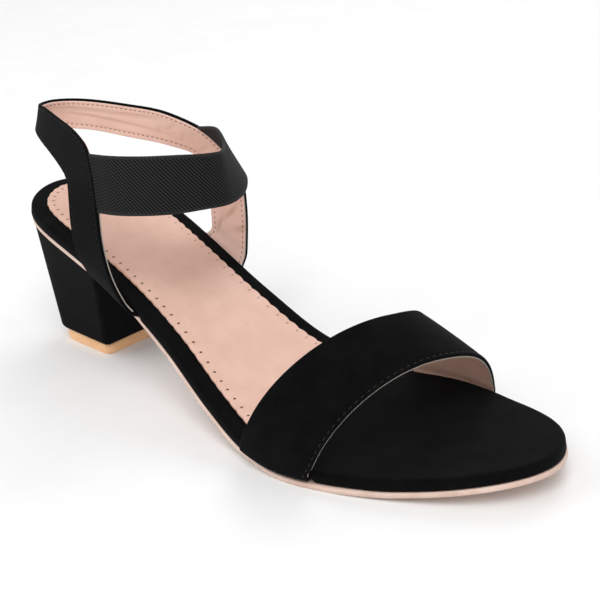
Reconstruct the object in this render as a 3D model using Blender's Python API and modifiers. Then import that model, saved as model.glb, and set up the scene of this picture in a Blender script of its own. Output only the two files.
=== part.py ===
"""A right-foot mid heel sandal: flat sole set, block heel, toe strap, heel strap and instep elastic.

X runs from the back of the heel to the toe, Y to the inner side of the foot and Z up. The shoe stands on
Z = 0. Sizes are in millimetres from the back of the heel. Each finished piece is in metres, moved so that the
middle of the shoe is over the origin.
"""

import math

import bmesh
import bpy
import numpy as np

MM = 0.001
WIDTH_MIDDLE_Y = 4.1

# Sole: plan outline and height of the underside
SOLE_LENGTH = 242.0
HEEL_END_Y = 0.5
TOE_END_Y = 14.0
SOLE_WIDTHS = (  # along the foot, outer edge, inner edge
    (10.0, -20.0, 20.5),
    (38.0, -27.5, 28.0),
    (100.0, -33.0, 24.0),
    (158.0, -40.5, 42.5),
    (182.0, -35.4, 49.2),
    (206.0, -25.0, 45.7),
    (231.0, -7.5, 34.5),
)
SOLE_HEIGHTS = (  # along the foot, underside above the floor
    (0.0, 54.6),
    (25.0, 49.8),
    (50.0, 43.9),
    (75.0, 36.0),
    (100.0, 25.0),
    (125.0, 11.0),
    (148.0, 2.0),
    (166.0, 0.0),
    (180.0, 0.0),
    (197.0, 0.8),
    (212.0, 2.8),
    (SOLE_LENGTH, 8.2),
)
OUTLINE_POINTS = 96
SLICE_PITCH = 6.0
SLOPE_REACH = 0.5
EDGE_REACH = 2.0

# Layers of the sole set, counted up from the underside
GAP = 0.3
OUTSOLE_INSETS = (  # along the foot, inset from the sole's outline
    (0.0, 0.7),
    (50.0, 0.9),
    (70.0, 1.3),
    (82.0, 1.2),
    (94.0, 0.6),
    (106.0, 0.5),
    (138.0, 0.5),
    (150.0, 0.5),
    (158.0, 0.0),
    (168.0, -0.6),
    (188.0, -0.6),
    (210.0, 0.0),
    (SOLE_LENGTH, 0.0),
)
OUTSOLE_THICK = 2.0
FOOTBED_INSET = 0.2
FOOTBED_THICK = 4.4
FOOTBED_ROUND = 1.2
FOOTBED_ROUND_STEPS = 3
INSOLE_INSET = 6.6
INSOLE_THICK = 0.9
INSOLE_FRONT = 149.0
FOOTBED_UNDER = OUTSOLE_THICK + GAP
FOOTBED_TOP = FOOTBED_UNDER + FOOTBED_THICK

# Heel: the block tapers from the heel seat to its foot, the lift is the top piece under it
LIFT_BACK = 16.5
LIFT_FRONT = 47.0
LIFT_HALF_WIDTH = 16.0
LIFT_FRONT_CORNER = 3.0
LIFT_BACK_CORNER = 8.0
LIFT_THICK = 4.6
CORNER_STEPS = 6
BLOCK_FOOT_MARGIN = 1.6
BLOCK_FOOT_ROUND = 2.0
BLOCK_BREAST_ROUND = 2.5
BLOCK_ROUND_STEPS = 3
BLOCK_SEAT_MARGIN = 1.3
BLOCK_SEAT_FRONT = 58.0
BLOCK_WALL_POINTS = 36

# Straps
STRAP_THICK = 1.8
TUCK = 7.0
FOLD_RADIUS = 1.0
FOLD_STEPS = 3
FOLD_EASE = 0.3
FOLD_OUT = GAP + STRAP_THICK / 2 - FOOTBED_INSET + FOLD_EASE
FOLD_HEIGHT = FOOTBED_UNDER + STRAP_THICK / 2
REBATE_ROWS = 3
REBATE_COLUMNS = 8

# Toe strap: an arch across the forefoot between a rear and a front edge
TOE_REAR_OUTER_X = 147.0
TOE_REAR_INNER_X = 157.0
TOE_REAR_BOW = 25.0
TOE_FRONT_OUTER_X = 176.5
TOE_FRONT_INNER_X = 191.5
TOE_FRONT_BOW = 14.5
TOE_ARCH_X = 180.0
TOE_ARCH_RISE = 45.7
TOE_ARCH_FALL = 0.56
TOE_ARCH_LEAN = -0.11
TOE_ARCH_OUTER = (2.25, 1.0)  # power, spring
TOE_ARCH_INNER = (2.2, 0.76)  # power, spring
TOE_BULGE = 6.3
TOE_ARCH_SIDE = 0.955
TOE_ROWS = 29
TOE_COLUMNS = 8

# Heel strap: a leg at each side and a loop round the back of the heel
BACK_STRAP_EASE = 0.5
BACK_STRAP_LEAN = 2.0
BACK_STRAP_OUTER_FOOT = ((58.0, 85.0), (59.0, 80.5))
BACK_STRAP_ROWS = (  # rear or lower edge x, y, z, front or upper edge x, y, z
    (59.5, -35, 54, 81.5, -37.5, 49),
    (57.5, -35.5, 68, 78, -38.5, 66.5),
    (56.5, -34.5, 75, 76.5, -37.5, 76),
    (50, -30, 82.5, 72, -35, 91.5),
    (43, -27.5, 85, 68, -33, 97.5),
    (35, -24.5, 86.5, 60, -30, 100),
    (20, -18, 87.5, 35, -20.5, 100.5),
    (12, -13.5, 87.5, 21, -15, 100),
    (7, -9.5, 87, 12, -10.5, 98.5),
    (4.5, -4.5, 86, 6.5, -5.5, 97),
    (4.5, 1.5, 84.5, 5, 0.5, 96.5),
    (6.5, 6.5, 83.5, 7, 6, 96),
    (12, 11, 83, 11, 9, 96),
    (29, 19, 81, 29, 18, 95),
    (46, 26, 79, 50, 24.5, 93),
    (57, 31.5, 75, 67.5, 30, 85.5),
    (62, 32, 65.5, 80, 32, 71.5),
    (64, 30.5, 55, 83, 31.5, 58),
)
BACK_STRAP_INNER_FOOT = ((61.0, 85.5), (63.0, 83.0))
BACK_STRAP_STEPS = 5
BACK_STRAP_COLUMNS = 4

# Elastic: sewn into the strap's edge at both sides, the joints counted in rows of the strap
ELASTIC_THICK = 1.3
JOINT_GAP = 0.5
OUTER_JOINT = (2.98, 4.75)
INNER_JOINT = (16.75, 15.6)
ELASTIC_ROWS = (  # lower edge x, y, z, upper edge x, y, z
    (83.5, -35.5, 76, 79, -32, 97),
    (92, -29.5, 76, 90, -26, 97.5),
    (100, -20.5, 76, 99.5, -18.5, 98),
    (106, -11, 76.5, 105, -10.5, 97.5),
    (108, -3, 76, 105.5, -3, 96.5),
    (106, 5, 75.5, 100.5, 3.5, 95.5),
    (92.5, 23, 75.5, 82.5, 17.5, 95.5),
)
ELASTIC_STEPS = 4
ELASTIC_COLUMNS = 4

# Finish of the edges
SMOOTH_ANGLE = 35.0
ROUND_ANGLE = 50.0
ROUND_PROFILE = 0.5

FINISHES = {  # piece: material, colour, roughness
    "outsole": ("nude_sole", (0.72, 0.55, 0.47), 0.6),
    "footbed": ("black_suede", (0.012, 0.012, 0.014), 0.95),
    "insole": ("rose_lining", (0.7, 0.47, 0.38), 0.55),
    "heel_block": ("black_heel", (0.012, 0.012, 0.014), 0.95),
    "heel_lift": ("tan_lift", (0.62, 0.33, 0.13), 0.5),
    "toe_strap": ("black_band", (0.012, 0.012, 0.014), 0.95),
    "back_strap": ("black_strap", (0.012, 0.012, 0.014), 0.95),
    "elastic_band": ("charcoal_elastic", (0.025, 0.025, 0.027), 0.85),
}


def closed_spline(points, count):
    """Points spaced along a smooth closed curve through the given ones."""
    points = np.array(points, float)
    total = len(points)
    chords = np.sqrt(np.linalg.norm(np.roll(points, -1, axis=0) - points, axis=1))
    before = np.roll(chords, 1)
    system = np.zeros((total, total))
    pull = np.zeros_like(points)
    for i in range(total):
        after = (i + 1) % total
        system[i, i - 1] += before[i]
        system[i, i] += 2 * (before[i] + chords[i])
        system[i, after] += chords[i]
        pull[i] = 6 * ((points[after] - points[i]) / chords[i] - (points[i] - points[i - 1]) / before[i])
    bends = np.linalg.solve(system, pull)
    knots = np.concatenate([[0], np.cumsum(chords)])
    places = np.linspace(0, knots[-1], count, endpoint=False)
    spans = np.clip(np.searchsorted(knots, places, side="right") - 1, 0, total - 1)
    after = (spans + 1) % total
    width = chords[spans][:, None]
    right = (places - knots[spans])[:, None]
    left = width - right
    return (
        (bends[spans] * left**3 + bends[after] * right**3) / (6 * width)
        + (points[spans] / width - bends[spans] * width / 6) * left
        + (points[after] / width - bends[after] * width / 6) * right
    )


def along_rows(rows, places):
    """Rows of numbers run smoothly through the given rows, at places counted in rows."""
    rows = np.array(rows, float)
    spans = np.linalg.norm(np.diff(rows, axis=0).reshape(len(rows) - 1, -1), axis=1)
    slopes = np.gradient(rows, np.concatenate([[0], np.cumsum(spans)]), axis=0)
    out = []
    for place in places:
        i = min(int(place), len(rows) - 2)
        t = place - i
        out.append(
            rows[i] * (1 + 2 * t) * (1 - t) ** 2
            + spans[i] * slopes[i] * t * (1 - t) ** 2
            + rows[i + 1] * t**2 * (3 - 2 * t)
            + spans[i] * slopes[i + 1] * t**2 * (t - 1)
        )
    return np.array(out)


def open_spline(rows, steps):
    """The rows with `steps` smooth spans between two of them."""
    last = len(rows) - 1
    return along_rows(rows, np.linspace(0, last, last * steps + 1))


def sole_outline():
    outer = [(x, y) for x, y, _ in SOLE_WIDTHS]
    inner = [(x, y) for x, _, y in reversed(SOLE_WIDTHS)]
    ends = [(0.0, HEEL_END_Y)], [(SOLE_LENGTH, TOE_END_Y)]
    return closed_spline(ends[0] + outer + ends[1] + inner, OUTLINE_POINTS)


OUTLINE = sole_outline()
HEEL_TURN = OUTLINE[:, 0].argmin()
TOE_TURN = OUTLINE[:, 0].argmax()
OUTER_EDGE = OUTLINE[HEEL_TURN : TOE_TURN + 1]
INNER_EDGE = np.vstack([OUTLINE[TOE_TURN:], OUTLINE[: HEEL_TURN + 1]])[::-1]


def edge_y(x, side):
    """Outline of the sole at a station: side -1 is the outer edge, side 1 the inner edge."""
    edge = OUTER_EDGE if side < 0 else INNER_EDGE
    return np.interp(x, edge[:, 0], edge[:, 1])


def underside(x):
    """Height of the sole's underside: a rise that never overshoots between its stations."""
    stations, heights = np.array(SOLE_HEIGHTS).T
    spans = np.diff(stations)
    rises = np.diff(heights) / spans
    slopes = np.zeros_like(heights)
    slopes[0] = rises[0]
    slopes[-1] = rises[-1]
    for i in range(1, len(heights) - 1):
        if rises[i - 1] * rises[i] > 0:
            slopes[i] = 2 * rises[i - 1] * rises[i] / (rises[i - 1] + rises[i])
    i = np.clip(np.searchsorted(stations, x, side="right") - 1, 0, len(spans) - 1)
    t = (x - stations[i]) / spans[i]
    return (
        heights[i] * (1 + 2 * t) * (1 - t) ** 2
        + spans[i] * slopes[i] * t * (1 - t) ** 2
        + heights[i + 1] * t**2 * (3 - 2 * t)
        + spans[i] * slopes[i + 1] * t**2 * (t - 1)
    )


def on_sole(x, y, height):
    """A point that stands `height` above the underside, square to it."""
    x = float(np.clip(x, 0.0, SOLE_LENGTH))
    before = max(x - SLOPE_REACH, 0.0)
    after = min(x + SLOPE_REACH, SOLE_LENGTH)
    slope = (underside(after) - underside(before)) / (after - before)
    length = math.hypot(1, slope)
    return np.array([x - height * slope / length, y, underside(x) + height / length])


def new_object(name, mesh, collection):
    piece = bpy.data.objects.new(name, mesh)
    piece.location = (-SOLE_LENGTH / 2 * MM, -WIDTH_MIDDLE_Y * MM, 0.0)
    collection.objects.link(piece)
    if name in FINISHES:
        mesh.materials.append(new_material(*FINISHES[name]))
    return piece


def new_material(name, colour, roughness):
    material = bpy.data.materials.new(name)
    material.use_nodes = True
    shader = material.node_tree.nodes["Principled BSDF"]
    shader.inputs["Base Color"].default_value = (*colour, 1.0)
    shader.inputs["Roughness"].default_value = roughness
    shader.inputs["Metallic"].default_value = 0.0
    return material


def finish_mesh(name, builder):
    """A mesh in metres from a bmesh in millimetres."""
    bmesh.ops.scale(builder, vec=(MM, MM, MM), verts=builder.verts)
    mesh = bpy.data.meshes.new(name)
    builder.to_mesh(mesh)
    builder.free()
    mesh.shade_smooth()
    mesh.set_sharp_from_angle(angle=math.radians(SMOOTH_ANGLE))
    return mesh


def thicken(piece, thickness, offset):
    solidify = piece.modifiers.new("Thickness", "SOLIDIFY")
    solidify.thickness = thickness * MM
    solidify.offset = offset
    solidify.use_even_offset = True


def round_edges(piece, radius, segments):
    bevel = piece.modifiers.new("Rounded edges", "BEVEL")
    bevel.width = radius * MM
    bevel.segments = segments
    bevel.limit_method = "ANGLE"
    bevel.angle_limit = math.radians(ROUND_ANGLE)


def inset_outline(inset):
    """The sole's outline moved inwards, by one inset or by one for each of its points."""
    ahead = np.roll(OUTLINE, -1, axis=0) - np.roll(OUTLINE, 1, axis=0)
    ahead /= np.linalg.norm(ahead, axis=1)[:, None]
    inward = np.column_stack([-ahead[:, 1], ahead[:, 0]])
    return OUTLINE + inward * np.reshape(inset, (-1, 1))


def slice_across(builder, x, drop_front):
    bmesh.ops.bisect_plane(
        builder,
        geom=builder.verts[:] + builder.edges[:] + builder.faces[:],
        plane_co=(x, 0, 0),
        plane_no=(1, 0, 0),
        clear_outer=drop_front,
    )


def sole_layer(name, inset, height, front=SOLE_LENGTH):
    """A sheet of the sole's outline, sliced across and bent to the sole's curve at a height above it."""
    builder = bmesh.new()
    builder.faces.new([builder.verts.new((x, y, 0.0)) for x, y in inset_outline(inset)])
    for x in np.arange(SLICE_PITCH, SOLE_LENGTH, SLICE_PITCH):
        slice_across(builder, x, False)
    if front < SOLE_LENGTH:
        slice_across(builder, front, True)
    for vert in builder.verts:
        vert.co = on_sole(vert.co.x, vert.co.y, height)
    bmesh.ops.recalc_face_normals(builder, faces=builder.faces)
    if sum(face.normal.z for face in builder.faces) < 0:
        bmesh.ops.reverse_faces(builder, faces=builder.faces)
    return finish_mesh(name, builder)


def loft(rows, builder):
    """Quads between neighbouring rows of points."""
    grid = [[builder.verts.new(point) for point in row] for row in rows]
    for lower, upper in zip(grid, grid[1:]):
        for i in range(len(lower) - 1):
            builder.faces.new((lower[i], lower[i + 1], upper[i + 1], upper[i]))
    return grid


def band(name, rows, thickness, collection):
    """A strap: a sheet through rows of points with a thickness on both sides of it."""
    builder = bmesh.new()
    loft(rows, builder)
    piece = new_object(name, finish_mesh(name, builder), collection)
    thicken(piece, thickness, 0.0)
    return piece


def beside_sole(x, out, height, side):
    """A point `out` from the sole's edge, square to it in plan, and `height` above the underside."""
    slope = (edge_y(x + EDGE_REACH, side) - edge_y(x - EDGE_REACH, side)) / (2 * EDGE_REACH)
    length = math.hypot(1, slope)
    return on_sole(x - side * slope * out / length, edge_y(x, side) + side * out / length, height)


def fold_path(ease, lean):
    """Section of a strap's end from under the footbed round to its side: out from the edge, height."""
    side = FOLD_OUT + ease
    path = [(-TUCK, FOLD_HEIGHT), (-TUCK / 2, FOLD_HEIGHT)]
    for i in range(FOLD_STEPS + 1):
        angle = math.radians(90) * i / FOLD_STEPS
        path.append(
            (
                side - FOLD_RADIUS + FOLD_RADIUS * math.sin(angle),
                FOLD_HEIGHT + FOLD_RADIUS - FOLD_RADIUS * math.cos(angle),
            )
        )
    path.append((side + lean, FOOTBED_TOP + GAP))
    return path


def tucked_rows(under, above, side, columns, ease=0.0, lean=0.0):
    """Rows of a strap's end: its span along the edge goes from `under` to `above` round the fold."""
    path = fold_path(ease, lean)
    rows = []
    for i, (out, height) in enumerate(path):
        share = max(0.0, (i - 1) / (len(path) - 2))
        rear = under[0] + (above[0] - under[0]) * share
        front = under[1] + (above[1] - under[1]) * share
        rows.append([beside_sole(x, out, height, side) for x in np.linspace(rear, front, columns + 1)])
    return rows


def toe_strap_rows():
    """Rows across the strap from the outer side over the arch to the inner side."""
    outer = (TOE_REAR_OUTER_X, TOE_FRONT_OUTER_X)
    inner = (TOE_REAR_INNER_X, TOE_FRONT_INNER_X)
    arch = []
    side_angle = math.asin(TOE_ARCH_SIDE)
    for angle in np.linspace(-side_angle, side_angle, TOE_ROWS):
        across = math.sin(angle)
        share = (across + 1) / 2
        bow = 1 - across**2
        rear = outer[0] + (inner[0] - outer[0]) * share + TOE_REAR_BOW * bow
        front = outer[1] + (inner[1] - outer[1]) * share + TOE_FRONT_BOW * bow
        power, spring = TOE_ARCH_OUTER if across < 0 else TOE_ARCH_INNER
        arc = (1 - abs(across) ** power) ** spring
        rise = arc * (1 + TOE_ARCH_LEAN * across)
        bulge = TOE_BULGE * 4 * arc * (1 - arc) if across < 0 else 0.0
        row = []
        for x in np.linspace(rear, front, TOE_COLUMNS + 1):
            low, high = edge_y(x, -1) - FOLD_OUT, edge_y(x, 1) + FOLD_OUT
            y = (low + high) / 2 + (high - low) / 2 * across - bulge
            crown = TOE_ARCH_RISE - TOE_ARCH_FALL * (x - TOE_ARCH_X)
            row.append(np.array([x, y, underside(x) + OUTSOLE_THICK + crown * rise]))
        arch.append(row)
    outer_end = tucked_rows(outer, outer, -1, TOE_COLUMNS)
    inner_end = tucked_rows(inner, inner, 1, TOE_COLUMNS)
    return outer_end + arch + inner_end[::-1]


def across_rows(edges, columns):
    """Points across a strap between its two edges, for each row of edge points."""
    rows = []
    for edge in edges:
        low, high = np.array(edge[:3]), np.array(edge[3:])
        rows.append([low + (high - low) * share for share in np.linspace(0, 1, columns + 1)])
    return rows


def back_strap_ends():
    stance = (BACK_STRAP_COLUMNS, BACK_STRAP_EASE, BACK_STRAP_LEAN)
    outer_end = tucked_rows(*BACK_STRAP_OUTER_FOOT, -1, *stance)
    inner_end = tucked_rows(*BACK_STRAP_INNER_FOOT, 1, *stance)[::-1]
    return outer_end, inner_end


def back_strap_free(outer_end, inner_end):
    """Rows of the strap's free part, with the rows that it starts and ends on."""
    return np.array([outer_end[-1], *across_rows(BACK_STRAP_ROWS, BACK_STRAP_COLUMNS), inner_end[0]])


def back_strap_rows():
    """Rows across the strap from its outer foot, round the heel, to its inner foot."""
    outer_end, inner_end = back_strap_ends()
    free = open_spline(back_strap_free(outer_end, inner_end), BACK_STRAP_STEPS)
    return [*outer_end[:-1], *free, *inner_end[1:]]


def joint_row(joint):
    """The elastic's end: a gap beyond the strap's front edge and running along it."""
    rows = along_rows(back_strap_free(*back_strap_ends()), np.linspace(*joint, ELASTIC_COLUMNS + 1))
    ahead = rows[:, -1] - rows[:, -2]
    ahead /= np.linalg.norm(ahead, axis=1)[:, None]
    return rows[:, -1] + ahead * JOINT_GAP


def elastic_rows():
    middle = across_rows(ELASTIC_ROWS, ELASTIC_COLUMNS)
    return open_spline([joint_row(OUTER_JOINT), *middle, joint_row(INNER_JOINT)], ELASTIC_STEPS)


def heel_plan(margin, front_corner):
    """Plan of the heel's foot from its outer front corner round the back to its inner front corner."""
    half = LIFT_HALF_WIDTH + margin
    front = LIFT_FRONT + margin - front_corner
    back = LIFT_BACK - margin + LIFT_BACK_CORNER
    side = half - front_corner
    back_side = half - LIFT_BACK_CORNER
    corners = (  # centre along, centre across, radius, start angle
        (front, -side, front_corner, 0.0),
        (back, -back_side, LIFT_BACK_CORNER, -90.0),
        (back, back_side, LIFT_BACK_CORNER, -180.0),
        (front, side, front_corner, -270.0),
    )
    points = []
    for x, y, radius, start in corners:
        for angle in np.radians(np.linspace(start, start - 90.0, CORNER_STEPS + 1 if radius else 1)):
            points.append((x + radius * math.cos(angle), y + radius * math.sin(angle)))
    return np.array(points)


def even_points(path, count):
    """Points spaced evenly along a path."""
    along = np.concatenate([[0], np.cumsum(np.linalg.norm(np.diff(path, axis=0), axis=1))])
    places = np.linspace(0, along[-1], count)
    return np.column_stack([np.interp(places, along, path[:, 0]), np.interp(places, along, path[:, 1])])


def heel_lift(collection):
    builder = bmesh.new()
    plan = heel_plan(0.0, LIFT_FRONT_CORNER)
    face = builder.faces.new([builder.verts.new((x, y, 0.0)) for x, y in plan])
    wall = bmesh.ops.extrude_face_region(builder, geom=[face])["geom"]
    raised = [item for item in wall if isinstance(item, bmesh.types.BMVert)]
    bmesh.ops.translate(builder, verts=raised, vec=(0, 0, LIFT_THICK))
    bmesh.ops.recalc_face_normals(builder, faces=builder.faces)
    new_object("heel_lift", finish_mesh("heel_lift", builder), collection)


def seat_plan():
    """Plan of the heel seat from its outer front corner round the back to its inner front corner."""
    outline = np.roll(inset_outline(BLOCK_SEAT_MARGIN), OUTLINE_POINTS // 2 - HEEL_TURN, axis=0)
    curve = outline[outline[:, 0] < BLOCK_SEAT_FRONT][::-1]
    outer, inner = (edge_y(BLOCK_SEAT_FRONT, side) - side * BLOCK_SEAT_MARGIN for side in (-1, 1))
    return np.vstack([(BLOCK_SEAT_FRONT, outer), curve, (BLOCK_SEAT_FRONT, inner)])


def round_block_edges(builder, edges, radius):
    bmesh.ops.bevel(
        builder,
        geom=edges,
        offset=radius,
        segments=BLOCK_ROUND_STEPS,
        profile=ROUND_PROFILE,
        affect="EDGES",
    )


def heel_block(collection):
    """A loft from the heel seat, bent to the sole's curve, to the foot above the lift."""
    seat = [on_sole(x, y, -GAP) for x, y in even_points(seat_plan(), BLOCK_WALL_POINTS)]
    foot_plan = even_points(heel_plan(BLOCK_FOOT_MARGIN, 0.0), BLOCK_WALL_POINTS)
    foot = [(x, y, LIFT_THICK + GAP) for x, y in foot_plan]
    builder = bmesh.new()
    seat_ring, foot_ring = loft((seat, foot), builder)
    builder.faces.new((seat_ring[0], seat_ring[-1], foot_ring[-1], foot_ring[0]))
    for i in range(BLOCK_WALL_POINTS // 2 - 1):
        builder.faces.new((seat_ring[i], seat_ring[i + 1], seat_ring[-2 - i], seat_ring[-1 - i]))
    builder.faces.new(foot_ring)
    bmesh.ops.recalc_face_normals(builder, faces=builder.faces)
    breast = [builder.edges.get((seat_ring[i], foot_ring[i])) for i in (0, -1)]
    round_block_edges(builder, breast, BLOCK_BREAST_ROUND)
    rim = [edge for edge in builder.edges if all(vert.co.z < LIFT_THICK + 2 * GAP for vert in edge.verts)]
    round_block_edges(builder, rim, BLOCK_FOOT_ROUND)
    new_object("heel_block", finish_mesh("heel_block", builder), collection)


def rebate(name, spans, side, collection):
    """A cutter for the room that a strap's end takes under the footbed."""
    rear = min(span[0] for span in spans) - GAP
    front = max(span[1] for span in spans) + GAP
    ceiling = FOOTBED_UNDER + STRAP_THICK + GAP
    middle = (OUTSOLE_THICK + ceiling) / 2
    rows = []
    for out in np.linspace(-TUCK - GAP, FOLD_OUT + STRAP_THICK, REBATE_ROWS):
        stations = np.linspace(rear, front, REBATE_COLUMNS + 1)
        rows.append([beside_sole(x, out, middle, side) for x in stations])
    cutter = band(name, rows, ceiling - OUTSOLE_THICK, collection)
    cutter.hide_render = True
    cutter.display_type = "WIRE"
    return cutter


def build():
    for old in list(bpy.data.objects):
        bpy.data.objects.remove(old)
    parts = bpy.data.collections.new("mid_heel_sandal")
    cutters = bpy.data.collections.new("cutters")
    for collection in (parts, cutters):
        bpy.context.scene.collection.children.link(collection)

    outsole_insets = np.interp(OUTLINE[:, 0], *np.array(OUTSOLE_INSETS).T)
    outsole = new_object("outsole", sole_layer("outsole", outsole_insets, 0.0), parts)
    thicken(outsole, OUTSOLE_THICK, 1.0)

    footbed = new_object("footbed", sole_layer("footbed", FOOTBED_INSET, FOOTBED_UNDER), parts)
    thicken(footbed, FOOTBED_THICK, 1.0)
    round_edges(footbed, FOOTBED_ROUND, FOOTBED_ROUND_STEPS)
    rebates = (
        ("rebate_toe_outer", [(TOE_REAR_OUTER_X, TOE_FRONT_OUTER_X)], -1),
        ("rebate_toe_inner", [(TOE_REAR_INNER_X, TOE_FRONT_INNER_X)], 1),
        ("rebate_back_outer", BACK_STRAP_OUTER_FOOT, -1),
        ("rebate_back_inner", BACK_STRAP_INNER_FOOT, 1),
    )
    for name, spans, side in rebates:
        cut = footbed.modifiers.new(name, "BOOLEAN")
        cut.operation = "DIFFERENCE"
        cut.object = rebate(name, spans, side, cutters)

    insole_mesh = sole_layer("insole", INSOLE_INSET, FOOTBED_TOP + GAP, INSOLE_FRONT)
    insole = new_object("insole", insole_mesh, parts)
    thicken(insole, INSOLE_THICK, 1.0)

    heel_block(parts)
    heel_lift(parts)
    band("toe_strap", toe_strap_rows(), STRAP_THICK, parts)
    band("back_strap", back_strap_rows(), STRAP_THICK, parts)
    band("elastic_band", elastic_rows(), ELASTIC_THICK, parts)


build()
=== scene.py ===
import math

import bmesh
import bpy
import numpy as np
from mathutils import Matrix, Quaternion, Vector


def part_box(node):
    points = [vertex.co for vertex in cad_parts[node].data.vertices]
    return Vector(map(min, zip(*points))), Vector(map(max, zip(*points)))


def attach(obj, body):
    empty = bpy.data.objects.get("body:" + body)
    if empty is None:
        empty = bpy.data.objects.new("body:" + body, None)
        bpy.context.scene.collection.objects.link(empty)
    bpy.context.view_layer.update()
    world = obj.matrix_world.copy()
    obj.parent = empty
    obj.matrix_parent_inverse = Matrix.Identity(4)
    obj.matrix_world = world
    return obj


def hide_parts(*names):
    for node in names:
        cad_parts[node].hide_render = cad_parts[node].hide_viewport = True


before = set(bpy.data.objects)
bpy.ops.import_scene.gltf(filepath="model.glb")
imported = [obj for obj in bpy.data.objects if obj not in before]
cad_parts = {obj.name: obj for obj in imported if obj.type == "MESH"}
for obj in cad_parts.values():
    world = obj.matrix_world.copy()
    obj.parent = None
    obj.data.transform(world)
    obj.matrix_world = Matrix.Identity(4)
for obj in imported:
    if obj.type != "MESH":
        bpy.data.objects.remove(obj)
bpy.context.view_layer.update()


# Outsole
# A thin sheet of nude resin rubber, cut to the outline of the foot and bent over arch and toe.
# It is glued under everything else, and its pale edge shows all round the shoe.
# Sizes are in millimetres from the back of the heel: X to the toe, Y to the inner side, Z up.

MM = 0.001
SOLE_LENGTH = 242.0
HEEL_END_Y = 0.5
TOE_END_Y = 14.0
SOLE_WIDTHS = (  # along the foot, outer edge, inner edge
    (10.0, -20.0, 20.5),
    (38.0, -27.5, 28.0),
    (100.0, -33.0, 24.0),
    (158.0, -40.5, 42.5),
    (182.0, -35.4, 49.2),
    (206.0, -25.0, 45.7),
    (231.0, -7.5, 34.5),
)
SOLE_HEIGHTS = (  # along the foot, underside above the floor
    (0.0, 54.6),
    (25.0, 49.8),
    (50.0, 43.9),
    (75.0, 36.0),
    (100.0, 25.0),
    (125.0, 11.0),
    (148.0, 2.0),
    (166.0, 0.0),
    (180.0, 0.0),
    (197.0, 0.8),
    (212.0, 2.8),
    (SOLE_LENGTH, 8.2),
)
OUTLINE_POINTS = 1600
RIM_STATIONS = 200
SLOPE_REACH = 0.5
OUTSOLE_INSETS = (  # along the foot, inset from the sole's outline
    (0.0, 0.7),
    (50.0, 0.9),
    (70.0, 1.3),
    (82.0, 1.2),
    (94.0, 0.6),
    (106.0, 0.5),
    (138.0, 0.5),
    (150.0, 0.5),
    (158.0, 0.0),
    (168.0, -0.6),
    (188.0, -0.6),
    (210.0, 0.0),
    (SOLE_LENGTH, 0.0),
)
OUTSOLE_THICK = 2.0
OUTSOLE_SECTION = (  # further inset, height
    (0.6, 0.0),
    (0.2, 0.1),
    (0.0, 0.4),
    (0.0, 1.65),
    (0.15, 1.9),
    (0.6, OUTSOLE_THICK),
)
SHARP_ANGLE = math.radians(48)
NUDE_PALE = (0.78, 0.6, 0.51)
NUDE_WARM = (0.66, 0.47, 0.39)

lift_low, lift_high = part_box("heel_lift")
SHOE_PLACE = np.array([-SOLE_LENGTH / 2, (lift_low.y + lift_high.y) / 2 / MM, 0.0])


def closed_spline(points, count):
    """Points spaced along a smooth closed curve through the given ones."""
    points = np.array(points, float)
    total = len(points)
    chords = np.sqrt(np.linalg.norm(np.roll(points, -1, axis=0) - points, axis=1))
    before = np.roll(chords, 1)
    system = np.zeros((total, total))
    pull = np.zeros_like(points)
    for i in range(total):
        after = (i + 1) % total
        system[i, i - 1] += before[i]
        system[i, i] += 2 * (before[i] + chords[i])
        system[i, after] += chords[i]
        pull[i] = 6 * ((points[after] - points[i]) / chords[i] - (points[i] - points[i - 1]) / before[i])
    bends = np.linalg.solve(system, pull)
    knots = np.concatenate([[0], np.cumsum(chords)])
    places = np.linspace(0, knots[-1], count, endpoint=False)
    spans = np.clip(np.searchsorted(knots, places, side="right") - 1, 0, total - 1)
    after = (spans + 1) % total
    width = chords[spans][:, None]
    right = (places - knots[spans])[:, None]
    left = width - right
    return (
        (bends[spans] * left**3 + bends[after] * right**3) / (6 * width)
        + (points[spans] / width - bends[spans] * width / 6) * left
        + (points[after] / width - bends[after] * width / 6) * right
    )


def sole_outline():
    """The sole's plan, starting at the back of the heel and running along the outer side first."""
    outer = [(x, y) for x, y, _ in SOLE_WIDTHS]
    inner = [(x, y) for x, _, y in reversed(SOLE_WIDTHS)]
    points = [(0.0, HEEL_END_Y), *outer, (SOLE_LENGTH, TOE_END_Y), *inner]
    outline = closed_spline(points, OUTLINE_POINTS)
    return np.roll(outline, -outline[:, 0].argmin(), axis=0)


OUTLINE = sole_outline()
TOE_TURN = OUTLINE[:, 0].argmax()
OUTER_EDGE = OUTLINE[: TOE_TURN + 1]
INNER_EDGE = np.vstack([OUTLINE[TOE_TURN:], OUTLINE[:1]])[::-1]


def edge_y(x, side):
    """Outline of the sole at a station: side -1 is the outer edge, side 1 the inner edge."""
    edge = OUTER_EDGE if side < 0 else INNER_EDGE
    return np.interp(x, edge[:, 0], edge[:, 1])


def underside(x):
    """Height of the sole's underside: a rise that never overshoots between its stations."""
    stations, heights = np.array(SOLE_HEIGHTS).T
    spans = np.diff(stations)
    rises = np.diff(heights) / spans
    slopes = np.zeros_like(heights)
    slopes[0] = rises[0]
    slopes[-1] = rises[-1]
    for i in range(1, len(heights) - 1):
        if rises[i - 1] * rises[i] > 0:
            slopes[i] = 2 * rises[i - 1] * rises[i] / (rises[i - 1] + rises[i])
    i = np.clip(np.searchsorted(stations, x, side="right") - 1, 0, len(spans) - 1)
    t = (x - stations[i]) / spans[i]
    return (
        heights[i] * (1 + 2 * t) * (1 - t) ** 2
        + spans[i] * slopes[i] * t * (1 - t) ** 2
        + heights[i + 1] * t**2 * (3 - 2 * t)
        + spans[i] * slopes[i + 1] * t**2 * (t - 1)
    )


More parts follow.
